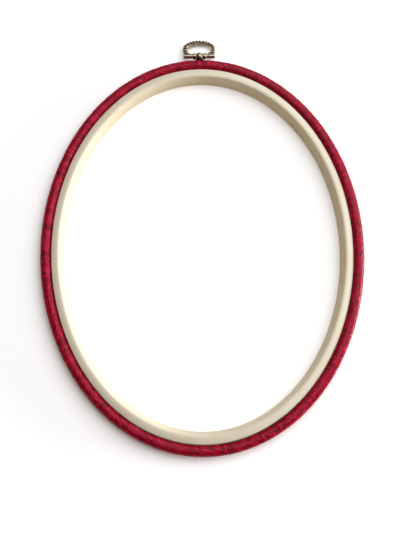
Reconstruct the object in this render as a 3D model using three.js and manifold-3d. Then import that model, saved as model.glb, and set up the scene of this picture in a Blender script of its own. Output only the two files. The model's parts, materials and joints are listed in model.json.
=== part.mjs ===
// An oval embroidery hoop without a screw: a rigid inner hoop, a flexible outer hoop pressed over it,
// and a small cast bail to hang it by. It lies on its back: millimetres, +Z up, the bail towards +Y.
import * as THREE from 'three';
import { mergeVertices } from 'three/addons/utils/BufferGeometryUtils.js';
import Module from 'manifold-3d';

const wasm = await Module();
wasm.setup();

// Inner hoop: the oval that the fabric is stretched round, and the section behind it
const workWidth = 200.4;
const workLength = 255.6;
const innerDepth = 9.2;
const bandAtSides = 5.4;
const bandAtEnds = 5.95;
const bandDrop = 0.9;
const wallLean = 2.4;
const creaseRound = 1.1;
const rimRound = 1.0;
const innerEdgeRound = 0.4;
const lipReach = 2.6;
const lipThickness = 1.6;

// Outer hoop: a soft ring of rounded section that rests on the inner hoop's lip
const fabricGap = 0.5;
const seatGap = 0.3;
const outerWidth = 6.95;
const outerDepth = 7.2;
const shoulderWidth = 3.1;
const shoulderDrop = 2.5;
const sideFlat = 1.4;
const backRound = 2.4;
const backEdgeRound = 0.6;

// Post: a ball head on a flared collar, with a shank screwed into the outer hoop
const pivotReach = 3.6;
const ballRadius = 2.7;
const ballHalfWidth = 2.1;
const neckRadius = 1.5;
const collarRadius = 3.1;
const collarRim = 0.5;
const collarSink = 0.7;
const shankRadius = 1.2;
const shankLength = 5.0;
const shankTip = 0.8;
const shankTipRadius = 0.4;
const pressGap = 0.3;

// Bail: two barrels with a bead each, joined by a rope-edged arch
const bailHalfLength = 11.1;
const barrelRadius = 1.6;
const barrelChamfer = 0.2;
const beadRadius = 2.2;
const beadWidth = 2.3;
const beadGap = 0.3;
const archHeight = 12.75;
const archHalfWidth = 9.8;
const archShoulder = 6.7;
const archFootSpread = 8.35;
const archFootRadius = 1.42;
const archTopRadius = 1.82;
const footFlare = 0.35;
const footFlareHeight = 4.2;
const ridgePitch = 2.23;
const ridgeDepth = 0.7;
const ridgeSlant = 0.3;
const ridgeFadeFrom = -0.2;
const ridgeFadeTo = 0.5;

// Pin through the barrels and the ball
const pinRadius = 0.75;
const pinClearance = 0.15;
const pinRecess = 0.1;

// Facets
const ovalSegments = 96;
const archSides = 12;
const stationsPerRidge = 5;
const roundSegments = 24;
const boreSegments = 16;
const innerCurveSteps = 3;
const outerCurveSteps = 2;
const postCurveSteps = 5;
const beadCurveSteps = 4;
const weldTolerance = 1e-4;

// Levels and places that follow from the sizes
const seatHeight = lipThickness + seatGap;
const outerTop = seatHeight + outerDepth;
const pivotHeight = seatHeight + outerDepth / 2;
const outerEdge = fabricGap + outerWidth;
const droop = Math.asin((pivotHeight - archTopRadius) / archHeight);
const tipReach = pivotReach + archHeight * Math.cos(droop) + archTopRadius;
const hoopCentreY = -tipReach / 2;
const outerEndY = hoopCentreY + workLength / 2 + outerEdge;
const pivotY = outerEndY + pivotReach;

const materials = {
  innerPlastic: { color: 0xe4dcc2, roughness: 0.55, metalness: 0 },
  outerVinyl: { color: 0x8a0f22, roughness: 0.38, metalness: 0 },
  antiqueBrass: { color: 0x6b5b47, roughness: 0.34, metalness: 1 },
};

// Joins vertices that share a place, so that a shape is one closed skin.
function weld(geometry) {
  const bare = geometry.clone();
  bare.deleteAttribute('normal');
  bare.deleteAttribute('uv');
  return mergeVertices(bare, weldTolerance);
}

function toSolid(geometry) {
  const welded = weld(geometry);
  const mesh = new wasm.Mesh({
    numProp: 3,
    vertProperties: new Float32Array(welded.attributes.position.array),
    triVerts: new Uint32Array(welded.index.array),
  });
  return new wasm.Manifold(mesh);
}

function toGeometry(solid) {
  const mesh = solid.getMesh();
  const geometry = new THREE.BufferGeometry();
  geometry.setAttribute('position', new THREE.BufferAttribute(mesh.vertProperties, 3));
  geometry.setIndex(new THREE.BufferAttribute(mesh.triVerts, 1));
  geometry.computeVertexNormals();
  return geometry;
}

function namedMesh(name, geometry, finish) {
  const mesh = new THREE.Mesh(geometry, new THREE.MeshStandardMaterial(finish));
  mesh.name = name;
  return mesh;
}

// A round bar along X, from -halfLength to halfLength.
function barAlongX(radius, halfLength, segments) {
  const bar = new THREE.CylinderGeometry(radius, radius, 2 * halfLength, segments);
  return bar.rotateZ(Math.PI / 2);
}

// Spins a section, given as offsets from the work oval and heights, into a ring and draws it out to
// the oval. Every point keeps its offset, measured square to the oval. The inner half of a section
// moves inwards by extraAtEnds at the hoop's two ends.
function ovalRing(section, extraAtEnds) {
  const semiX = workWidth / 2;
  const semiY = workLength / 2;
  const round = (semiX + semiY) / 2;
  const points = section.map((point) => new THREE.Vector2(round + point.x, point.y));
  const ring = new THREE.LatheGeometry(points, ovalSegments).rotateX(Math.PI / 2);
  const position = ring.attributes.position;
  for (let i = 0; i < position.count; i += 1) {
    const angle = Math.atan2(position.getY(i), position.getX(i));
    const offset = Math.hypot(position.getX(i), position.getY(i)) - round;
    const inward = THREE.MathUtils.clamp(-offset / bandAtSides, 0, 1);
    const reach = offset - extraAtEnds * inward * Math.sin(angle) ** 2;
    const normal = new THREE.Vector2(Math.cos(angle) / semiX, Math.sin(angle) / semiY).normalize();
    position.setXY(
      i,
      semiX * Math.cos(angle) + reach * normal.x,
      semiY * Math.sin(angle) + reach * normal.y + hoopCentreY,
    );
  }
  return ring;
}

// Section of the inner hoop: a flat back, a lip that the outer hoop sits on, a straight outer wall,
// a rounded rim, a front band that falls away outwards, a rounded crease and a wall that leans in
// to the back.
function innerHoop() {
  const round = innerEdgeRound;
  const rim = innerDepth - bandDrop;
  const backReach = bandAtSides + wallLean;
  const creaseFall = creaseRound * (wallLean / innerDepth);
  const section = new THREE.Path();
  section.moveTo(-backReach + round, 0);
  section.lineTo(lipReach - round, 0);
  section.quadraticCurveTo(lipReach, 0, lipReach, round);
  section.lineTo(lipReach, lipThickness - round);
  section.quadraticCurveTo(lipReach, lipThickness, lipReach - round, lipThickness);
  section.lineTo(0, lipThickness);
  section.lineTo(0, rim - rimRound);
  section.quadraticCurveTo(0, rim, -rimRound, rim + rimRound * (bandDrop / bandAtSides));
  section.quadraticCurveTo(-bandAtSides / 2, innerDepth, -bandAtSides + creaseRound, innerDepth);
  section.quadraticCurveTo(-bandAtSides, innerDepth, -bandAtSides - creaseFall, innerDepth - creaseRound);
  section.lineTo(-backReach + round * (wallLean / innerDepth), round);
  section.quadraticCurveTo(-backReach, 0, -backReach + round, 0);
  const ring = ovalRing(section.getPoints(innerCurveSteps), bandAtEnds - bandAtSides);
  return namedMesh('inner_hoop', weld(ring), materials.innerPlastic);
}

// Section of the outer hoop: a straight inner wall, a rounded shoulder and front, a full outer side
// and a flat back.
function outerHoopRing() {
  const crown = fabricGap + shoulderWidth;
  const flatLow = pivotHeight - sideFlat / 2;
  const flatHigh = pivotHeight + sideFlat / 2;
  const section = new THREE.Path();
  section.moveTo(fabricGap + backEdgeRound, seatHeight);
  section.lineTo(outerEdge - backRound, seatHeight);
  section.absellipse(outerEdge - backRound, flatLow, backRound, flatLow - seatHeight, -Math.PI / 2, 0);
  section.absellipse(crown, flatHigh, outerEdge - crown, outerTop - flatHigh, 0, Math.PI / 2);
  section.absellipse(crown, outerTop - shoulderDrop, shoulderWidth, shoulderDrop, Math.PI / 2, Math.PI);
  section.lineTo(fabricGap, seatHeight + backEdgeRound);
  section.lineTo(fabricGap + backEdgeRound, seatHeight);
  return ovalRing(section.getPoints(outerCurveSteps), 0);
}

// The outer hoop with the hole for the post's shank and the flat that its collar beds on.
function outerHoop() {
  const shankHole = new THREE.CylinderGeometry(
    shankRadius + pressGap,
    shankRadius + pressGap,
    2 * (shankLength + pressGap),
    boreSegments,
  );
  const bedRadius = collarRadius + pressGap;
  const collarBed = new THREE.CylinderGeometry(bedRadius, bedRadius, 2 * collarSink, roundSegments);
  for (const cutter of [shankHole, collarBed]) {
    cutter.translate(0, outerEndY, pivotHeight);
  }
  const ring = toSolid(outerHoopRing()).subtract(toSolid(shankHole)).subtract(toSolid(collarBed));
  return namedMesh('outer_hoop', toGeometry(ring), materials.outerVinyl);
}

// The post is turned about its own axis, with its origin on the pivot, and bored across for the pin.
function hangerPost() {
  const base = -pivotReach - collarSink + pressGap;
  const shankEnd = -pivotReach - shankLength;
  const neckTop = -Math.sqrt(ballRadius ** 2 - neckRadius ** 2);
  const profile = new THREE.Path();
  profile.moveTo(0, shankEnd);
  profile.lineTo(shankTipRadius, shankEnd);
  profile.lineTo(shankRadius, shankEnd + shankTip);
  profile.lineTo(shankRadius, base);
  profile.lineTo(collarRadius, base);
  profile.lineTo(collarRadius, base + collarRim);
  profile.quadraticCurveTo(neckRadius, base + collarRim, neckRadius, neckTop);
  const neckAngle = Math.atan2(neckTop, neckRadius);
  profile.absarc(0, 0, ballRadius, neckAngle, Math.PI / 2);
  const turned = new THREE.LatheGeometry(profile.getPoints(postCurveSteps), roundSegments);
  let post = toSolid(turned);
  const cheekDepth = ballRadius;
  for (const side of [-1, 1]) {
    const cheek = new THREE.BoxGeometry(cheekDepth, 2 * ballRadius, 2 * ballRadius);
    cheek.translate(side * (ballHalfWidth + cheekDepth / 2), ballRadius + neckTop, 0);
    post = post.subtract(toSolid(cheek));
  }
  const bore = barAlongX(pinRadius + pinClearance, 2 * ballRadius, boreSegments);
  post = post.subtract(toSolid(bore));
  const mesh = namedMesh('hanger_post', toGeometry(post), materials.antiqueBrass);
  mesh.position.set(0, pivotY, pivotHeight);
  return mesh;
}

// The arch's centre line, in the bail's own plane: up from one barrel, round the top and down to the
// other. It is widest at the shoulder, and both of its parts are stretches of an ellipse.
class ArchCurve extends THREE.Curve {
  constructor() {
    super();
    this.footAngle = Math.acos(archFootSpread / archHalfWidth);
    this.lowerRise = archShoulder / Math.sin(this.footAngle);
  }

  getPoint(t, target = new THREE.Vector3()) {
    const angle = -this.footAngle + t * (Math.PI + 2 * this.footAngle);
    const rise = Math.sin(angle) > 0 ? archHeight - archShoulder : this.lowerRise;
    return target.set(archHalfWidth * Math.cos(angle), archShoulder + rise * Math.sin(angle), 0);
  }
}

// The arch is a bar that is thickest at the top and flares at its feet. Slanted grooves, a pitch
// apart, are sunk in its outer side and fade out towards its smooth inner side.
function arch() {
  const curve = new ArchCurve();
  const length = curve.getLength();
  const ridges = Math.round(length / ridgePitch);
  const stations = ridges * stationsPerRidge;
  const outline = [];
  for (let i = 0; i < archSides; i += 1) {
    const angle = (2 * Math.PI * i) / archSides;
    outline.push(new THREE.Vector2(Math.cos(angle), Math.sin(angle)));
  }
  const bar = new THREE.ExtrudeGeometry(new THREE.Shape(outline), {
    steps: stations,
    extrudePath: curve,
    bevelEnabled: false,
  });
  const centres = curve.getSpacedPoints(stations);
  const position = bar.attributes.position;
  const point = new THREE.Vector3();
  for (let i = 0; i < position.count; i += 1) {
    point.fromBufferAttribute(position, i);
    let station = 0;
    for (let k = 1; k <= stations; k += 1) {
      if (centres[k].distanceToSquared(point) < centres[station].distanceToSquared(point)) station = k;
    }
    const along = station / stations;
    const tangent = curve.getTangentAt(along);
    const outward = new THREE.Vector3(tangent.y, -tangent.x, 0);
    const spoke = point.clone().sub(centres[station]);
    const around = Math.atan2(spoke.z, spoke.dot(outward));
    const thickness = archFootRadius + (archTopRadius - archFootRadius) * Math.sin(Math.PI * along) ** 2;
    const turn = along * ridges + ridgeSlant * around;
    const groove = 0.5 - 0.5 * Math.cos(2 * Math.PI * turn);
    const fade = THREE.MathUtils.smoothstep(Math.cos(around), ridgeFadeFrom, ridgeFadeTo);
    const flare = 1 + footFlare * Math.max(0, 1 - centres[station].y / footFlareHeight);
    const radius = thickness - ridgeDepth * groove * fade;
    point.copy(centres[station]);
    point.addScaledVector(outward, radius * flare * Math.cos(around));
    point.z += radius * Math.sin(around);
    position.setXYZ(i, point.x, point.y, point.z);
  }
  return toSolid(bar);
}

// One barrel, turned about X, with a bead at the end that faces the ball.
function barrel(side) {
  const start = ballHalfWidth + beadGap;
  const beadEnd = start + beadWidth;
  const beadMiddle = (start + beadEnd) / 2;
  const profile = new THREE.Path();
  profile.moveTo(0, start);
  profile.lineTo(barrelRadius, start);
  profile.absellipse(
    barrelRadius,
    beadMiddle,
    beadRadius - barrelRadius,
    beadWidth / 2,
    -Math.PI / 2,
    Math.PI / 2,
  );
  profile.lineTo(barrelRadius, bailHalfLength - barrelChamfer);
  profile.lineTo(barrelRadius - barrelChamfer, bailHalfLength);
  profile.lineTo(0, bailHalfLength);
  const turned = new THREE.LatheGeometry(profile.getPoints(beadCurveSteps), roundSegments);
  return toSolid(turned.rotateZ(-Math.PI / 2 * side));
}

function bail() {
  const bore = barAlongX(pinRadius + pinClearance, 2 * bailHalfLength, boreSegments);
  const casting = arch().add(barrel(1)).add(barrel(-1)).subtract(toSolid(bore));
  return namedMesh('bail', toGeometry(casting), materials.antiqueBrass);
}

function pivotPin() {
  const pin = weld(barAlongX(pinRadius, bailHalfLength - pinRecess, boreSegments));
  return namedMesh('pivot_pin', pin, materials.antiqueBrass);
}

// The bail and its pin hang down from the pivot until the arch touches the surface below.
const bailGroup = new THREE.Group();
bailGroup.position.set(0, pivotY, pivotHeight);
bailGroup.rotation.x = -droop;
bailGroup.add(bail(), pivotPin());

const group = new THREE.Group();
group.add(innerHoop(), outerHoop(), hangerPost(), bailGroup);

export default group;
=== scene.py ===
"""An oval embroidery hoop without a screw, with a small cast bail, lying on a white table."""

import json
import math

import bpy
import numpy as np
from mathutils import Matrix, Vector
from mathutils.kdtree import KDTree


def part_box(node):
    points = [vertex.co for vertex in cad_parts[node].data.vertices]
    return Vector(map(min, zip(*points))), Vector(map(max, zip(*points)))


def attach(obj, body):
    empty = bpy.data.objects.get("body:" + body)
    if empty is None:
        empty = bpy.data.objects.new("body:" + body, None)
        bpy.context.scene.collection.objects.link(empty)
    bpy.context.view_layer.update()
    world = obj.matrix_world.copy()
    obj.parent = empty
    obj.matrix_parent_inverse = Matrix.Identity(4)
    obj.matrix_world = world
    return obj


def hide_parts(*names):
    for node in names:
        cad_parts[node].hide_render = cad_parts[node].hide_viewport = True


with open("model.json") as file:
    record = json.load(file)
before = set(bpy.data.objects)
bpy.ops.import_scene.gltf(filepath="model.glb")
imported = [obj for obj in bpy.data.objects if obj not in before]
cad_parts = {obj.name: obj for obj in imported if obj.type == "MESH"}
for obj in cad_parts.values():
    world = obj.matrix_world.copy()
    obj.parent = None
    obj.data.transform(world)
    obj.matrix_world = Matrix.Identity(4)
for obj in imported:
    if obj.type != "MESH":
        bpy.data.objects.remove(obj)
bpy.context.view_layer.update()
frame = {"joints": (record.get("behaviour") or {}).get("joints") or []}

MM = 0.001

# Inner hoop's section, as offsets from the oval that the fabric is stretched round
INNER_DEPTH = 9.2 * MM
BAND_AT_SIDES = 5.4 * MM
BAND_AT_ENDS = 5.95 * MM
BAND_DROP = 0.9 * MM
WALL_LEAN = 2.4 * MM
CREASE_ROUND = 1.1 * MM
RIM_ROUND = 1.0 * MM
INNER_EDGE_ROUND = 0.4 * MM
LIP_REACH = 2.6 * MM
LIP_THICKNESS = 1.6 * MM

# Outer hoop's section
FABRIC_GAP = 0.5 * MM
SHOULDER_WIDTH = 3.1 * MM
SHOULDER_DROP = 2.5 * MM
SIDE_FLAT = 1.4 * MM
BACK_ROUND = 2.4 * MM
BACK_EDGE_ROUND = 0.6 * MM

# Embossed wood grain on the outer hoop. A layer's slope is its drift across for its length along.
# A layer without a slope has more cells across than the section needs, so it never repeats there.
GRAIN_DEPTH = 0.3 * MM
STREAK = {"length": 9.5 * MM, "width": 1.5 * MM, "slope": 0.55, "seed": 13}
CROSS = {"length": 6.0 * MM, "width": 1.4 * MM, "slope": 0.002, "seed": 16}
FLECK = {"length": 2.6 * MM, "width": 0.7 * MM, "slope": 0.45, "seed": 14}
PATCH = {"length": 5.6 * MM, "width": 4.0 * MM, "slope": 0, "seed": 15}
SWIRL = {"length": 8.0 * MM, "width": 4.0 * MM, "slope": 0, "seed": 11}
SWIRL_REACH = 0.8 * MM
LEVEL_CELLS = 64
NOISE_GAIN = 1.5
RIDGE_NARROWNESS = 0.15

# Relief, from 0 in the pores to 1 on the ridges; at the middle one the surface lies on the section
GROUND_RELIEF = 0.3
RIDGE_RELIEF = 0.6
FLECK_RELIEF = 0.35
MIDDLE_RELIEF = 0.5

# Where the grain fades in: start and width of the rise, by the section's unit normal
INNER_SIDE_FADE = (-0.55, 0.4)
BACK_FADE = (-0.85, 0.5)
TOP_FADE = (0.0, 0.3)

# Post
BALL_RADIUS = 2.7 * MM
BALL_HALF_WIDTH = 2.1 * MM
NECK_RADIUS = 1.9 * MM
NECK_SPREAD = 0.7 * MM
COLLAR_RADIUS = 3.1 * MM
COLLAR_RIM = 0.5 * MM
COLLAR_SINK = 0.7 * MM
COLLAR_EDGE = 0.12 * MM
SHANK_RADIUS = 1.2 * MM
SHANK_LENGTH = 5.0 * MM
PRESS_GAP = 0.3 * MM

# Bail and pin
BAIL_HALF_LENGTH = 11.1 * MM
BARREL_RADIUS = 1.6 * MM
BARREL_CHAMFER = 0.25 * MM
BEAD_RADIUS = 2.2 * MM
BEAD_WIDTH = 2.6 * MM
BEAD_ROUND = 0.5 * MM
BEAD_GAP = 0.12 * MM
ARCH_HEIGHT = 12.75 * MM
ARCH_HALF_WIDTH = 10.15 * MM
ARCH_SHOULDER = 7.0 * MM
ARCH_FOOT_SPREAD = 8.2 * MM
ARCH_FOOT_RADIUS = 1.42 * MM
ARCH_TOP_RADIUS = 1.82 * MM
FOOT_FLARE = 1.5
FOOT_FLARE_HEIGHT = 4.2 * MM
RIDGE_PITCH = 2.23 * MM
RIDGE_DEPTH = 0.85 * MM
RIDGE_SLANT = 0.3
RIDGE_FADE = (-0.9, 0.45)
PIN_RADIUS = 0.75 * MM
PIN_EDGE = PIN_RADIUS / 8
PIN_CLEARANCE = 0.15 * MM
PIN_RECESS = 0.1 * MM
CAST_VOXEL = 0.1 * MM
CAST_RELAX = 0.5
CAST_RELAX_ROUNDS = 5

# Edges sharper than these angles, in degrees, stay crisp
INNER_HOOP_CRISP = 50
OUTER_HOOP_CRISP = 60
BAIL_CRISP = 50
TURNED_CRISP = 35

# Mesh resolution
RING_SEGMENTS = 720
GRAIN_SEGMENTS = 3000
GRAIN_POINTS = 120
ROUND_SEGMENTS = 72
ARCH_STATIONS = 640
ARCH_SIDES = 48
OVAL_SAMPLES = 20001
ARCH_SAMPLES = 6001

# Places that the CAD frame gives
inner_low, inner_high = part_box("inner_hoop")
outer_low, outer_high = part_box("outer_hoop")
semi_x = (inner_high.x - inner_low.x) / 2 - LIP_REACH
semi_y = (inner_high.y - inner_low.y) / 2 - LIP_REACH
inner_centre = (inner_high + inner_low) / 2
hinge = next(joint for joint in frame["joints"] if joint["name"] == "bail_hinge")
pivot = Vector(hinge["pos_m"])
outer_edge = outer_high.x - semi_x
outer_centre = Vector((0, outer_low.y + semi_y + outer_edge, 0))
outer_end_y = outer_centre.y + semi_y + outer_edge
pivot_reach = pivot.y - outer_end_y
droop = math.asin((pivot.z - ARCH_TOP_RADIUS) / ARCH_HEIGHT)


# Mesh helpers

def new_object(name, vertices, faces):
    mesh = bpy.data.meshes.new(name)
    mesh.from_pydata([tuple(vertex) for vertex in vertices], [], faces)
    mesh.validate()
    made = bpy.data.objects.new(name, mesh)
    bpy.context.scene.collection.objects.link(made)
    return made


def grid_faces(rows, columns):
    """Faces of a grid that closes on itself both ways, with a section of the ring in each row."""
    faces = []
    for row in range(rows):
        low = row * columns
        high = (row + 1) % rows * columns
        for a in range(columns):
            b = (a + 1) % columns
            faces.append((low + a, high + a, high + b, low + b))
    return faces


def smooth(obj, crisp_angle):
    """Smooth shading, but crisp at edges sharper than the angle, in degrees."""
    obj.data.shade_smooth()
    obj.data.set_sharp_from_angle(angle=math.radians(crisp_angle))


def apply_modifiers(obj):
    """Replaces the object's mesh by what its modifiers make of it."""
    depsgraph = bpy.context.evaluated_depsgraph_get()
    mesh = bpy.data.meshes.new_from_object(obj.evaluated_get(depsgraph))
    obj.modifiers.clear()
    obj.data = mesh


def cut(obj, cutter):
    """Cuts one closed mesh out of another and removes the cutter."""
    modifier = obj.modifiers.new("cut", "BOOLEAN")
    modifier.operation = "DIFFERENCE"
    modifier.solver = "EXACT"
    modifier.object = cutter
    apply_modifiers(obj)
    bpy.data.objects.remove(cutter)


def store_shares(obj, name, shares):
    """Keeps a number for each vertex, which the material reads by its name."""
    attribute = obj.data.attributes.new(name, "FLOAT", "POINT")
    attribute.data.foreach_set("value", np.array(shares, np.float32))


def fade_in(value, start, width):
    """0 up to the start and 1 from a width past it, with an even rise between."""
    return np.clip((value - start) / width, 0, 1)


def turn_angles(count):
    """Angles at equal steps, once round."""
    return np.linspace(0, 2 * math.pi, count, endpoint=False)


# Outline helpers: the first three give points without the end, so that pieces follow on

def straight(start, end, steps):
    share = np.linspace(0, 1, steps, endpoint=False)[:, None]
    return (1 - share) * np.array(start) + share * np.array(end)


def bend(start, control, end, steps):
    share = np.linspace(0, 1, steps, endpoint=False)[:, None]
    a, b, c = np.array(start), np.array(control), np.array(end)
    return (1 - share) ** 2 * a + 2 * share * (1 - share) * b + share ** 2 * c


def arc(centre, radii, start, end, steps):
    angle = np.linspace(start, end, steps, endpoint=False)
    return np.column_stack([centre[0] + radii[0] * np.cos(angle), centre[1] + radii[1] * np.sin(angle)])


def spaced_along(line, count, with_end):
    """Points at equal distances along a line, and the line's length."""
    steps = np.hypot(*np.diff(line, axis=0).T)
    along = np.concatenate([[0], np.cumsum(steps)])
    wanted = np.linspace(0, along[-1], count, endpoint=with_end)
    points = np.column_stack([np.interp(wanted, along, line[:, k]) for k in (0, 1)])
    return points, along[-1]


def outline_normals(outline):
    """Unit normals of a closed outline that runs anticlockwise."""
    tangent = np.roll(outline, -1, axis=0) - np.roll(outline, 1, axis=0)
    normal = np.column_stack([tangent[:, 1], -tangent[:, 0]])
    return normal / np.linalg.norm(normal, axis=1)[:, None]


def lathe(name, profile):
    """Turns a profile of (radius, height) about Z. Its two ends lie on the axis."""
    vertices = [(0, 0, profile[0][1])]
    for radius, height in profile[1:-1]:
        for angle in turn_angles(ROUND_SEGMENTS):
            vertices.append((radius * math.cos(angle), radius * math.sin(angle), height))
    vertices.append((0, 0, profile[-1][1]))
    last = len(vertices) - 1
    rings = len(profile) - 2
    top = 1 + (rings - 1) * ROUND_SEGMENTS
    faces = []
    for a in range(ROUND_SEGMENTS):
        b = (a + 1) % ROUND_SEGMENTS
        faces.append((0, 1 + b, 1 + a))
        for ring in range(rings - 1):
            low = 1 + ring * ROUND_SEGMENTS
            high = low + ROUND_SEGMENTS
            faces.append((low + a, low + b, high + b, high + a))
        faces.append((top + a, top + b, last))
    return new_object(name, vertices, faces)


def bar_along_x(name, radius, half_length, edge=0):
    """A round bar, with rims bevelled by the edge."""
    profile = [(0, -half_length), (radius - edge, -half_length)]
    if edge:
        profile += [(radius, edge - half_length), (radius, half_length - edge)]
    profile += [(radius - edge, half_length), (0, half_length)]
    bar = lathe(name, profile)
    bar.data.transform(Matrix.Rotation(math.pi / 2, 4, "Y"))
    return bar


# The oval: points square to it and the length along it

def oval_vertices(centre, angles, offsets, heights):
    """Points at offsets square to the oval; offsets and heights have a row for each angle."""
    cosine, sine = np.cos(angles)[:, None], np.sin(angles)[:, None]
    normal_x, normal_y = cosine / semi_x, sine / semi_y
    size = np.hypot(normal_x, normal_y)
    x = semi_x * cosine + offsets * normal_x / size + centre.x
    y = semi_y * sine + offsets * normal_y / size + centre.y
    return np.stack([x, y, heights], axis=-1).reshape(-1, 3)


def oval_lengths(angles):
    """Distance along the oval at each angle, and the whole way round."""
    fine = np.linspace(0, 2 * math.pi, OVAL_SAMPLES)
    speed = np.hypot(semi_x * np.sin(fine), semi_y * np.cos(fine))
    along = np.concatenate([[0], np.cumsum((speed[1:] + speed[:-1]) / 2 * np.diff(fine))])
    return np.interp(angles, fine, along), along[-1]


# Wood grain that closes on itself round the hoop

def ease(share):
    """A soft step from 0 to 1, level at both ends."""
    return share ** 3 * (share * (share * 6 - 15) + 10)


def gradient_noise(u, v, cells_u, cells_v, seed):
    """Smooth noise of about -1 to 1 over unit cells, repeating every cells_u and cells_v cells."""
    rng = np.random.default_rng(seed)
    turn = rng.random((cells_u, cells_v)) * 2 * math.pi
    cell_u, cell_v = np.floor(u).astype(int), np.floor(v).astype(int)
    inside_u, inside_v = u - cell_u, v - cell_v
    total = 0
    for step_u in (0, 1):
        for step_v in (0, 1):
            angle = turn[(cell_u + step_u) % cells_u, (cell_v + step_v) % cells_v]
            slope = np.cos(angle) * (inside_u - step_u) + np.sin(angle) * (inside_v - step_v)
            weight = ease(1 - abs(inside_u - step_u)) * ease(1 - abs(inside_v - step_v))
            total = total + weight * slope
    return NOISE_GAIN * total


def grain_layer(along, across, whole, length, width, slope, seed):
    """One layer of grain, length by width; a sloping one drifts by whole cells in a turn of the hoop."""
    cells_along = round(whole / length)
    cells_across = LEVEL_CELLS
    v = across / width
    if slope:
        cells_across = max(1, round(slope * whole / width))
        v = v + cells_across * along / whole
    return gradient_noise(along / whole * cells_along, v, cells_along, cells_across, seed)


def ridge_lines(noise):
    """Narrow ridges along the lines where the noise crosses zero."""
    return np.exp(-(noise / RIDGE_NARROWNESS) ** 2)


def wood_grain(along, across, whole):
    """Relief of the embossed grain, from 0 to 1."""
    moved = across + SWIRL_REACH * grain_layer(along, across, whole, **SWIRL)
    streak = grain_layer(along, moved, whole, **STREAK)
    cross = grain_layer(along, moved, whole, **CROSS)
    fleck = grain_layer(along, moved, whole, **FLECK)
    patch = 0.5 + 0.5 * grain_layer(along, across, whole, **PATCH)
    ridges = ridge_lines(streak) * patch + ridge_lines(cross) * (1 - patch)
    relief = GROUND_RELIEF + RIDGE_RELIEF * ridges + FLECK_RELIEF * fleck
    return np.clip(relief, 0, 1)


# Inner hoop

def inner_section():
    depth, edge, rim_round = INNER_DEPTH, INNER_EDGE_ROUND, RIM_ROUND
    lip, lift = LIP_REACH, LIP_THICKNESS
    band, crease = BAND_AT_SIDES, CREASE_ROUND
    rim = depth - BAND_DROP
    back = band + WALL_LEAN
    lean = WALL_LEAN / depth
    fall = crease * lean
    drop = rim_round * BAND_DROP / band
    return np.vstack([
        straight((-back + edge, 0), (lip - edge, 0), steps=10),
        bend((lip - edge, 0), (lip, 0), (lip, edge), steps=6),
        straight((lip, edge), (lip, lift - edge), steps=2),
        bend((lip, lift - edge), (lip, lift), (lip - edge, lift), steps=6),
        straight((lip - edge, lift), (0, lift), steps=4),
        straight((0, lift), (0, rim - rim_round), steps=10),
        bend((0, rim - rim_round), (0, rim), (-rim_round, rim + drop), steps=8),
        bend((-rim_round, rim + drop), (-band / 2, depth), (-band + crease, depth), steps=10),
        bend((-band + crease, depth), (-band, depth), (-band - fall, depth - crease), steps=10),
        straight((-band - fall, depth - crease), (-back + edge * lean, edge), steps=12),
        bend((-back + edge * lean, edge), (-back, 0), (-back + edge, 0), steps=6),
    ])


def make_inner_hoop():
    section = inner_section()
    angles = turn_angles(RING_SEGMENTS)
    inward = np.clip(-section[:, 0] / BAND_AT_SIDES, 0, 1)
    extra = (BAND_AT_ENDS - BAND_AT_SIDES) * inward[None, :] * np.sin(angles)[:, None] ** 2
    offsets = section[None, :, 0] - extra
    heights = np.broadcast_to(section[None, :, 1], offsets.shape)
    vertices = oval_vertices(inner_centre, angles, offsets, heights)
    ring = new_object("inner_hoop_fine", vertices, grid_faces(RING_SEGMENTS, len(section)))
    smooth(ring, INNER_HOOP_CRISP)
    return ring


# Outer hoop

def outer_section():
    low, high = outer_low.z, outer_high.z
    inner, outer, edge = FABRIC_GAP, outer_edge, BACK_EDGE_ROUND
    crown = inner + SHOULDER_WIDTH
    shoulder = high - SHOULDER_DROP
    flat_low = pivot.z - SIDE_FLAT / 2
    flat_high = pivot.z + SIDE_FLAT / 2
    quarter = math.pi / 2
    section = np.vstack([
        straight((inner + edge, low), (outer - BACK_ROUND, low), steps=40),
        arc((outer - BACK_ROUND, flat_low), (BACK_ROUND, flat_low - low), -quarter, 0, steps=40),
        straight((outer, flat_low), (outer, flat_high), steps=20),
        arc((crown, flat_high), (outer - crown, high - flat_high), 0, quarter, steps=60),
        arc((crown, shoulder), (SHOULDER_WIDTH, SHOULDER_DROP), quarter, math.pi, steps=60),
        straight((inner, shoulder), (inner, low + edge), steps=40),
        bend((inner, low + edge), (inner, low), (inner + edge, low), steps=10),
    ])
    closed = np.vstack([section, section[:1]])
    points, _ = spaced_along(closed, GRAIN_POINTS, with_end=False)
    return points


def make_outer_hoop():
    section = outer_section()
    normals = outline_normals(section)
    angles = turn_angles(GRAIN_SEGMENTS)
    along, whole = oval_lengths(angles)
    steps = np.hypot(*(np.roll(section, -1, axis=0) - section).T)
    across = np.concatenate([[0], np.cumsum(steps)[:-1]])
    relief = wood_grain(along[:, None], across[None, :], whole)
    # The back and the wall that faces the inner hoop are smooth.
    off_wall = fade_in(normals[:, 0], *INNER_SIDE_FADE)
    off_back = fade_in(normals[:, 1], *BACK_FADE)
    on_top = fade_in(normals[:, 1], *TOP_FADE)
    seen = np.maximum(off_wall * off_back, on_top)[None, :]
    sunk = GRAIN_DEPTH * (MIDDLE_RELIEF - relief) * seen
    offsets = section[None, :, 0] - sunk * normals[None, :, 0]
    heights = section[None, :, 1] - sunk * normals[None, :, 1]
    vertices = oval_vertices(outer_centre, angles, offsets, heights)
    ring = new_object("outer_hoop_grain", vertices, grid_faces(GRAIN_SEGMENTS, len(section)))
    # The painted shade of the pores and the painted highlight of the ridges follow the relief only where at
    # least half of it shows.
    store_shares(ring, "grain", np.where(seen > 0.5, relief, MIDDLE_RELIEF).ravel())
    return ring


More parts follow.
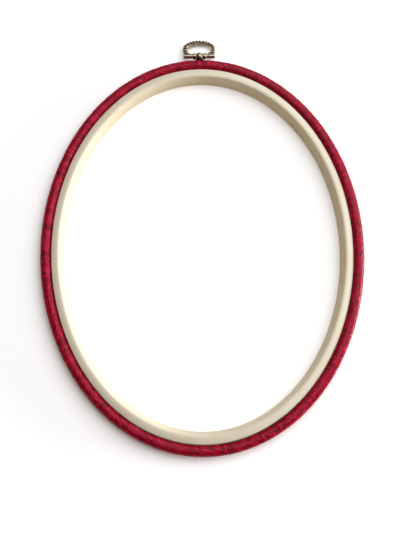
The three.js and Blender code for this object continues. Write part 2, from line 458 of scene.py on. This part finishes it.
def seat_post(ring):
    """The flat that the post's collar beds on and the hole for its shank."""
    for name, radius, depth in (
        ("bed", COLLAR_RADIUS + PRESS_GAP, COLLAR_SINK),
        ("hole", SHANK_RADIUS + PRESS_GAP, SHANK_LENGTH + PRESS_GAP),
    ):
        cutter = lathe(name, [(0, -depth), (radius, -depth), (radius, depth), (0, depth)])
        cutter.data.transform(Matrix.Rotation(-math.pi / 2, 4, "X"))
        cutter.data.transform(Matrix.Translation((0, outer_end_y, pivot.z)))
        cut(ring, cutter)


# Hanger

def make_post():
    ball, neck, shank = BALL_RADIUS, NECK_RADIUS, SHANK_RADIUS
    collar, edge = COLLAR_RADIUS, COLLAR_EDGE
    base = -pivot_reach - COLLAR_SINK + PRESS_GAP
    rim = base + COLLAR_RIM
    shank_end = -pivot_reach - SHANK_LENGTH
    neck_top = -math.sqrt(ball ** 2 - neck ** 2)
    neck_angle = math.atan2(neck_top, neck)
    outline = np.vstack([
        [(0, shank_end)],
        straight((shank / 2, shank_end), (shank, shank_end + shank), steps=2),
        straight((shank, shank_end + shank), (shank, base), steps=3),
        [(shank, base)],
        straight((collar - edge, base), (collar, base + edge), steps=2),
        straight((collar, base + edge), (collar, rim - edge), steps=2),
        bend((collar, rim - edge), (collar, rim), (collar - edge, rim), steps=4),
        bend((collar - edge, rim), (neck + NECK_SPREAD, rim + NECK_SPREAD), (neck, neck_top), steps=12),
        arc((0, 0), (ball, ball), neck_angle, math.pi / 2, steps=40),
        [(0, ball)],
    ])
    post = lathe("hanger_post_fine", outline)
    for vertex in post.data.vertices:
        if vertex.co.z > neck_top:
            vertex.co.x = min(max(vertex.co.x, -BALL_HALF_WIDTH), BALL_HALF_WIDTH)
    cut(post, bar_along_x("bore", PIN_RADIUS + PIN_CLEARANCE, 2 * ball))
    # Painted shade: the neck darkens towards the collar under the ball, stored as groove depth so that it
    # takes the dark of the bail's grooves.
    depths = [(neck_top - vertex.co.z) / (neck_top - rim) for vertex in post.data.vertices]
    store_shares(post, "groove", np.clip(depths, 0, 1))
    post.data.transform(Matrix.Rotation(-math.pi / 2, 4, "X"))
    post.data.transform(Matrix.Translation(pivot))
    smooth(post, TURNED_CRISP)
    return post


def arch_points():
    """The arch's centre line in the bail's plane, evenly spaced: points, tangents and whole length."""
    # Half an ellipse above the shoulders, and parts of a taller one below that draw the feet in.
    foot_angle = math.acos(ARCH_FOOT_SPREAD / ARCH_HALF_WIDTH)
    lower_rise = ARCH_SHOULDER / math.sin(foot_angle)
    angle = np.linspace(-foot_angle, math.pi + foot_angle, ARCH_SAMPLES)
    rise = np.where(np.sin(angle) > 0, ARCH_HEIGHT - ARCH_SHOULDER, lower_rise)
    line = np.column_stack([ARCH_HALF_WIDTH * np.cos(angle), ARCH_SHOULDER + rise * np.sin(angle)])
    points, length = spaced_along(line, ARCH_STATIONS + 1, with_end=True)
    tangents = np.gradient(points, axis=0)
    return points, tangents / np.linalg.norm(tangents, axis=1)[:, None], length


def arch_thickness(share):
    """The arch's radius without its grooves, at a share of the way along it."""
    return ARCH_FOOT_RADIUS + (ARCH_TOP_RADIUS - ARCH_FOOT_RADIUS) * np.sin(math.pi * share) ** 2


def make_arch():
    points, tangents, length = arch_points()
    outward = np.column_stack([tangents[:, 1], -tangents[:, 0]])
    share = np.linspace(0, 1, len(points))
    around = turn_angles(ARCH_SIDES)
    # The rope grooves slant round the outer side and fade out on the inner one.
    signed_around = np.where(around > math.pi, around - 2 * math.pi, around)
    turn = share[:, None] * round(length / RIDGE_PITCH) + RIDGE_SLANT * signed_around[None, :]
    groove = 1 - np.abs(np.cos(math.pi * turn))
    rise = fade_in(np.cos(around), *RIDGE_FADE)
    fade = rise * rise * (3 - 2 * rise)
    radius = arch_thickness(share)[:, None] - RIDGE_DEPTH * groove * fade[None, :]
    # The feet widen on the inner side only.
    flare = 1 + FOOT_FLARE * np.clip(1 - points[:, 1] / FOOT_FLARE_HEIGHT, 0, 1)
    inner_side = np.cos(around)[None, :] < 0
    reach = radius * np.where(inner_side, flare[:, None], 1) * np.cos(around)[None, :]
    vertices = np.empty((len(points), ARCH_SIDES, 3))
    vertices[..., :2] = points[:, None, :] + reach[..., None] * outward[:, None, :]
    vertices[..., 2] = radius * np.sin(around)[None, :]
    faces = []
    for station in range(len(points) - 1):
        low = station * ARCH_SIDES
        high = low + ARCH_SIDES
        for a in range(ARCH_SIDES):
            b = (a + 1) % ARCH_SIDES
            faces.append((low + a, low + b, high + b, high + a))
    faces.append(tuple(reversed(range(ARCH_SIDES))))
    faces.append(tuple(range((len(points) - 1) * ARCH_SIDES, len(points) * ARCH_SIDES)))
    return new_object("arch", vertices.reshape(-1, 3), faces)


def make_barrel(side):
    start = BALL_HALF_WIDTH + BEAD_GAP
    end = start + BEAD_WIDTH
    shoulder = BEAD_RADIUS - BEAD_ROUND
    rounding = (BEAD_ROUND, BEAD_ROUND)
    profile = np.vstack([
        [(0, start)],
        arc((shoulder, start + BEAD_ROUND), rounding, -math.pi / 2, 0, steps=8),
        arc((shoulder, end - BEAD_ROUND), rounding, 0, math.pi / 2, steps=8),
        [(BARREL_RADIUS, end)],
        [(BARREL_RADIUS, BAIL_HALF_LENGTH - BARREL_CHAMFER)],
        [(BARREL_RADIUS - BARREL_CHAMFER, BAIL_HALF_LENGTH)],
        [(0, BAIL_HALF_LENGTH)],
    ])
    barrel = lathe("barrel", profile)
    barrel.data.transform(Matrix.Rotation(side * math.pi / 2, 4, "Y"))
    return barrel


def cast_together(name, parts):
    """Joins closed meshes into one skin with small fillets, as a casting has."""
    vertices, faces = [], []
    for part in parts:
        start = len(vertices)
        vertices += [vertex.co.copy() / MM for vertex in part.data.vertices]
        faces += [[start + index for index in polygon.vertices] for polygon in part.data.polygons]
        bpy.data.objects.remove(part)
    joined = new_object(name, vertices, faces)
    remesh = joined.modifiers.new("remesh", "REMESH")
    remesh.mode = "VOXEL"
    remesh.voxel_size = CAST_VOXEL / MM
    relax = joined.modifiers.new("relax", "SMOOTH")
    relax.factor = CAST_RELAX
    relax.iterations = CAST_RELAX_ROUNDS
    apply_modifiers(joined)
    joined.data.transform(Matrix.Scale(MM, 4))
    return joined


def mark_grooves(bail):
    """Stores how deep each point of the casting lies in the arch's grooves, from 0 to 1."""
    points, _, _ = arch_points()
    tree = KDTree(len(points))
    for index, (x, y) in enumerate(points):
        tree.insert((x, y, 0), index)
    tree.balance()
    thickness = arch_thickness(np.linspace(0, 1, len(points)))
    depths = []
    for vertex in bail.data.vertices:
        _, index, distance = tree.find(vertex.co)
        depths.append((thickness[index] - distance) / RIDGE_DEPTH)
    store_shares(bail, "groove", np.clip(depths, 0, 1))


def hang(obj):
    """Puts a piece made in the bail's own plane on the pivot, drooping to the table."""
    obj.data.transform(Matrix.Translation(pivot) @ Matrix.Rotation(-droop, 4, "X"))


def make_bail():
    bail = cast_together("bail_cast", [make_arch(), make_barrel(1), make_barrel(-1)])
    mark_grooves(bail)
    cut(bail, bar_along_x("bore", PIN_RADIUS + PIN_CLEARANCE, 2 * BAIL_HALF_LENGTH))
    hang(bail)
    smooth(bail, BAIL_CRISP)
    return bail


def make_pin():
    pin = bar_along_x("pivot_pin_fine", PIN_RADIUS, BAIL_HALF_LENGTH - PIN_RECESS, PIN_EDGE)
    hang(pin)
    smooth(pin, TURNED_CRISP)
    return pin


# Materials

def rgb(red, green, blue):
    """A colour as it is seen, 0 to 255, in the linear values that shaders take."""
    def linear(value):
        share = value / 255
        return share / 12.92 if share <= 0.04045 else ((share + 0.055) / 1.055) ** 2.4
    return (linear(red), linear(green), linear(blue), 1.0)


# Sizes of noise are in millimetres; a span is what is mapped, and a bump is size, strength and distance
NOISE_DETAIL = 4
BUMP_DETAIL = 3
NOISE_SPAN = (0.3, 0.7)
FULL = (0.0, 1.0)
FALLING = (1.0, 0.0)

CREAM = rgb(232, 223, 197)
CREAM_WARM = rgb(229, 217, 188)
CREAM_TINT_SIZE = 14
CREAM_TINT_SPAN = (0.35, 0.65)
CREAM_GLOSS_SIZE = 3
CREAM_ROUGHNESS = (0.42, 0.52)
CREAM_BUMP = (0.5, 0.06, 0.05 * MM)
CREAM_SCATTER = 0.15
CREAM_SCATTER_COLOUR = (1.0, 0.6, 0.3)
CREAM_SCATTER_REACH = 2.0 * MM

CRIMSON = rgb(148, 0, 30)
# Painted shade for the pores of the grain and a painted highlight for its ridges
CRIMSON_PAINTED_PORE_SHADE = rgb(82, 0, 8)
CRIMSON_PAINTED_RIDGE_HIGHLIGHT = rgb(216, 28, 68)
CRIMSON_PORE_SHADE_SPAN = (0.1, 0.5)
CRIMSON_RIDGE_HIGHLIGHT_SPAN = (0.55, 1.0)
CRIMSON_GLOSS_SPAN = (0.3, 0.8)
CRIMSON_ROUGHNESS = (0.34, 0.2)
CRIMSON_BUMP = (0.25, 0.15, 0.04 * MM)
CRIMSON_SPECULAR_LEVEL = 0.34
CRIMSON_SPECULAR_TINT = (1.0, 0.48, 0.6, 1.0)

BRASS = rgb(212, 194, 164)
BRASS_DARK = rgb(20, 14, 10)
BRASS_RAISED_SPAN = (0.44, 0.53)
BRASS_PATINA_SIZE = 1.4
BRASS_PATINA_SPAN = (0.35, 0.6)
BRASS_PATINA = (0.5, 1.0)
BRASS_GROOVE_AND_NECK_SHADE_SPAN = (0.05, 0.28)
BRASS_GLOSS_SIZE = 0.6
BRASS_ROUGHNESS = (0.16, 0.26)
BRASS_BUMP = (0.5, 0.2, 0.05 * MM)


class Nodes:
    """Short calls for building the node tree of a material or a world."""

    def __init__(self, owner, kind):
        owner.use_nodes = True
        self.owner = owner
        self.tree = owner.node_tree
        self.tree.nodes.clear()
        self.output = self.add("Output" + kind)

    def put(self, socket, value):
        """Links another node's output to the socket, or sets its value."""
        if isinstance(value, bpy.types.NodeSocket):
            self.tree.links.new(value, socket)
        else:
            socket.default_value = value

    def add(self, kind, **inputs):
        """A new node with its inputs put by name, where _ stands for a space."""
        node = self.tree.nodes.new("ShaderNode" + kind)
        for name, value in inputs.items():
            self.put(node.inputs[name.replace("_", " ")], value)
        return node

    def attribute(self, name):
        node = self.add("Attribute")
        node.attribute_name = name
        return node.outputs["Fac"]

    def noise(self, size, detail=NOISE_DETAIL):
        """Noise with features of about the size in millimetres, fixed to the piece."""
        place = self.add("TexCoord").outputs["Object"]
        mapping = self.add("Mapping", Vector=place, Scale=(1 / size / MM,) * 3)
        texture = self.add("TexNoise", Vector=mapping.outputs["Vector"], Scale=1.0, Detail=detail)
        return texture.outputs["Fac"]

    def spread(self, value, span, target):
        """Maps the span evenly onto the target, whose ends hold beyond it."""
        (low, high), (to_low, to_high) = span, target
        node = self.add("MapRange", Value=value, From_Min=low, From_Max=high, To_Min=to_low, To_Max=to_high)
        return node.outputs["Result"]

    def mix(self, share, first, second):
        """A colour between the first and the second."""
        node = self.add("Mix")
        node.data_type = "RGBA"
        # The node has sockets of the same names for other types, so these go by number.
        for number, value in ((0, share), (6, first), (7, second)):
            self.put(node.inputs[number], value)
        return node.outputs[2]

    def combine(self, operation, first, second):
        node = self.add("Math")
        node.operation = operation
        self.put(node.inputs[0], first)
        self.put(node.inputs[1], second)
        return node.outputs[0]

    def bump(self, size, strength, distance):
        """A fine unevenness with features of about the size in millimetres."""
        height = self.noise(size, BUMP_DETAIL)
        return self.add("Bump", Height=height, Strength=strength, Distance=distance).outputs["Normal"]

    def finish(self, shader):
        """Links the shader to the output and gives the finished material or world."""
        self.put(self.output.inputs["Surface"], shader.outputs[0])
        return self.owner


def material_nodes(name):
    return Nodes(bpy.data.materials.new(name), "Material")


def cream_plastic():
    nodes = material_nodes("cream_plastic")
    tint = nodes.spread(nodes.noise(CREAM_TINT_SIZE), CREAM_TINT_SPAN, FULL)
    shader = nodes.add(
        "BsdfPrincipled",
        Base_Color=nodes.mix(tint, CREAM, CREAM_WARM),
        Roughness=nodes.spread(nodes.noise(CREAM_GLOSS_SIZE), NOISE_SPAN, CREAM_ROUGHNESS),
        Normal=nodes.bump(*CREAM_BUMP),
        Subsurface_Weight=CREAM_SCATTER,
        Subsurface_Radius=CREAM_SCATTER_COLOUR,
        Subsurface_Scale=CREAM_SCATTER_REACH,
    )
    return nodes.finish(shader)


def crimson_vinyl():
    """Painted shade in the pores and a painted highlight on the ridges of the grain, which are also
    glossier.
    """
    nodes = material_nodes("crimson_vinyl")
    relief = nodes.attribute("grain")
    # Painted shade: the pores are darkened by the relief.
    low = nodes.mix(nodes.spread(relief, CRIMSON_PORE_SHADE_SPAN, FULL), CRIMSON_PAINTED_PORE_SHADE, CRIMSON)
    shader = nodes.add(
        "BsdfPrincipled",
        # Painted highlight: the ridges are lightened by the relief.
        Base_Color=nodes.mix(nodes.spread(relief, CRIMSON_RIDGE_HIGHLIGHT_SPAN, FULL), low, CRIMSON_PAINTED_RIDGE_HIGHLIGHT),
        Roughness=nodes.spread(relief, CRIMSON_GLOSS_SPAN, CRIMSON_ROUGHNESS),
        Normal=nodes.bump(*CRIMSON_BUMP),
    )
    shader.inputs["Specular IOR Level"].default_value = CRIMSON_SPECULAR_LEVEL
    shader.inputs["Specular Tint"].default_value = CRIMSON_SPECULAR_TINT
    return nodes.finish(shader)


def antique_brass():
    """Bare on what is raised, and dark in the hollows, the grooves and patches of patina, and with painted
    shade down the post's neck under the ball.
    """
    nodes = material_nodes("antique_brass")
    pointiness = nodes.add("NewGeometry").outputs["Pointiness"]
    raised = nodes.spread(pointiness, BRASS_RAISED_SPAN, FULL)
    patina = nodes.spread(nodes.noise(BRASS_PATINA_SIZE), BRASS_PATINA_SPAN, BRASS_PATINA)
    # The groove share darkens the bail's grooves with patina and paints shade down the post's neck.
    clear = nodes.spread(nodes.attribute("groove"), BRASS_GROOVE_AND_NECK_SHADE_SPAN, FALLING)
    bare = nodes.combine("MULTIPLY", nodes.combine("MULTIPLY", raised, patina), clear)
    shader = nodes.add(
        "BsdfPrincipled",
        Base_Color=nodes.mix(bare, BRASS_DARK, BRASS),
        Roughness=nodes.spread(nodes.noise(BRASS_GLOSS_SIZE), NOISE_SPAN, BRASS_ROUGHNESS),
        Normal=nodes.bump(*BRASS_BUMP),
        Metallic=1.0,
    )
    return nodes.finish(shader)


# Pieces

def dress(piece, node, body, material):
    piece.data.materials.clear()
    piece.data.materials.append(material)
    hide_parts(node)
    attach(piece, body)


inner_ring = make_inner_hoop()
outer_ring = make_outer_hoop()
seat_post(outer_ring)
smooth(outer_ring, OUTER_HOOP_CRISP)
brass = antique_brass()
dress(inner_ring, "inner_hoop", "inner", cream_plastic())
dress(outer_ring, "outer_hoop", "outer", crimson_vinyl())
dress(make_post(), "hanger_post", "outer", brass)
dress(make_bail(), "bail", "bail", brass)
dress(make_pin(), "pivot_pin", "bail", brass)


# Table, light and camera, in metres and degrees; an azimuth turns from +X towards +Y

TABLE_GAP = 0.1 * MM
TABLE_HALF = 1.2
TABLE_WHITE = (0.93, 0.79, 0.58, 1.0)
TABLE_SEEN = (1.345, 1.335, 1.285, 1.0)
BACKDROP_WHITE = (1.0, 1.0, 1.0, 1.0)
WORLD_LEVEL = 0.14
WORLD_LEAN = 0.5
WORLD_WARM = (1.12, 0.83, 0.56, 1.0)
KEY_LIGHT = {
    "azimuth": 42,
    "elevation": 59,
    "distance": 2.6,
    "width": 3.5,
    "height": 3.5,
    "power": 80,
    "colour": (0.93, 0.98, 1.08),
}
SIDE_LIGHT = {
    "azimuth": 1,
    "elevation": 6.5,
    "distance": 2.5,
    "width": 1.2,
    "height": 0.45,
    "power": 60,
    "colour": (0.95, 0.97, 1.0),
}

PHOTO_WIDTH = 400
PHOTO_HEIGHT = 533
CAMERA_DISTANCE = 0.55
CAMERA_ELEVATION = 76.75
CAMERA_ROLL = 0.85
CAMERA_FOCAL_PIXELS = 817.4
CAMERA_NEAR = 0.01
CAMERA_FAR = 20
CENTRE_PIXEL_X = 202.2
CENTRE_PIXEL_Y = 249.7
SENSOR = 36.0


def table_material():
    """Brighter where a view or a gloss shows it than as a source of light, as if overexposed."""
    nodes = material_nodes("white_table")
    path = nodes.add("LightPath").outputs
    seen = nodes.combine("MAXIMUM", path["Is Camera Ray"], path["Is Glossy Ray"])
    seen = nodes.combine("MAXIMUM", seen, path["Is Transmission Ray"])
    return nodes.finish(nodes.add("BsdfDiffuse", Color=nodes.mix(seen, TABLE_WHITE, TABLE_SEEN)))


def make_table():
    half = TABLE_HALF
    corners = [(half * x, half * y, -TABLE_GAP) for x, y in ((-1, -1), (1, -1), (1, 1), (-1, 1))]
    table = new_object("table", corners, [(0, 1, 2, 3)])
    table.data.materials.append(table_material())


def make_world():
    """Warm surroundings, brighter on the right, behind a backdrop that the camera sees as white."""
    nodes = Nodes(bpy.data.worlds.new("studio"), "World")
    sky = nodes.add("TexCoord").outputs["Generated"]
    rightward = nodes.add("SeparateXYZ", Vector=sky).outputs["X"]
    lean = nodes.combine("MULTIPLY", rightward, WORLD_LEVEL * WORLD_LEAN)
    ambient = nodes.add("Background", Color=WORLD_WARM, Strength=nodes.combine("ADD", lean, WORLD_LEVEL))
    backdrop = nodes.add("Background", Color=BACKDROP_WHITE, Strength=1.0)
    camera_ray = nodes.add("LightPath").outputs["Is Camera Ray"]
    mix = nodes.add("MixShader")
    for socket, value in zip(mix.inputs, (camera_ray, ambient.outputs[0], backdrop.outputs[0])):
        nodes.put(socket, value)
    bpy.context.scene.world = nodes.finish(mix)


def area_light(name, azimuth, elevation, distance, width, height, power, colour):
    """A rectangular lamp that faces the middle of the hoop."""
    light = bpy.data.lights.new(name, "AREA")
    light.shape = "RECTANGLE"
    light.size = width
    light.size_y = height
    light.energy = power
    light.color = colour
    lamp = bpy.data.objects.new(name, light)
    turn, rise = math.radians(azimuth), math.radians(elevation)
    away = Vector((math.cos(turn) * math.cos(rise), math.sin(turn) * math.cos(rise), math.sin(rise)))
    lamp.location = outer_centre + away * distance
    lamp.rotation_euler = away.to_track_quat("Z", "Y").to_euler()
    bpy.context.scene.collection.objects.link(lamp)


def make_camera():
    """The photo's view, steeply down from the front, with the hoop's middle at its own pixel there."""
    elevation = math.radians(CAMERA_ELEVATION)
    roll = math.radians(CAMERA_ROLL)
    back = Vector((0, -math.cos(elevation), math.sin(elevation)))
    level_right = Vector((1, 0, 0))
    level_up = Vector((0, math.sin(elevation), math.cos(elevation)))
    right = math.cos(roll) * level_right - math.sin(roll) * level_up
    up = math.sin(roll) * level_right + math.cos(roll) * level_up
    data = bpy.data.cameras.new("camera")
    data.sensor_fit = "VERTICAL"
    data.sensor_width = SENSOR
    data.sensor_height = SENSOR
    data.lens = CAMERA_FOCAL_PIXELS / PHOTO_HEIGHT * SENSOR
    data.shift_x = -(CENTRE_PIXEL_X - PHOTO_WIDTH / 2) / PHOTO_HEIGHT
    data.shift_y = (CENTRE_PIXEL_Y - PHOTO_HEIGHT / 2) / PHOTO_HEIGHT
    data.clip_start = CAMERA_NEAR
    data.clip_end = CAMERA_FAR
    camera = bpy.data.objects.new("camera", data)
    place = Matrix((right, up, back)).transposed().to_4x4()
    place.translation = outer_centre + back * CAMERA_DISTANCE
    camera.matrix_world = place
    bpy.context.scene.collection.objects.link(camera)
    bpy.context.scene.camera = camera


make_table()
make_world()
area_light("key", **KEY_LIGHT)
area_light("side", **SIDE_LIGHT)
make_camera()
bpy.context.scene.view_settings.view_transform = "Standard"
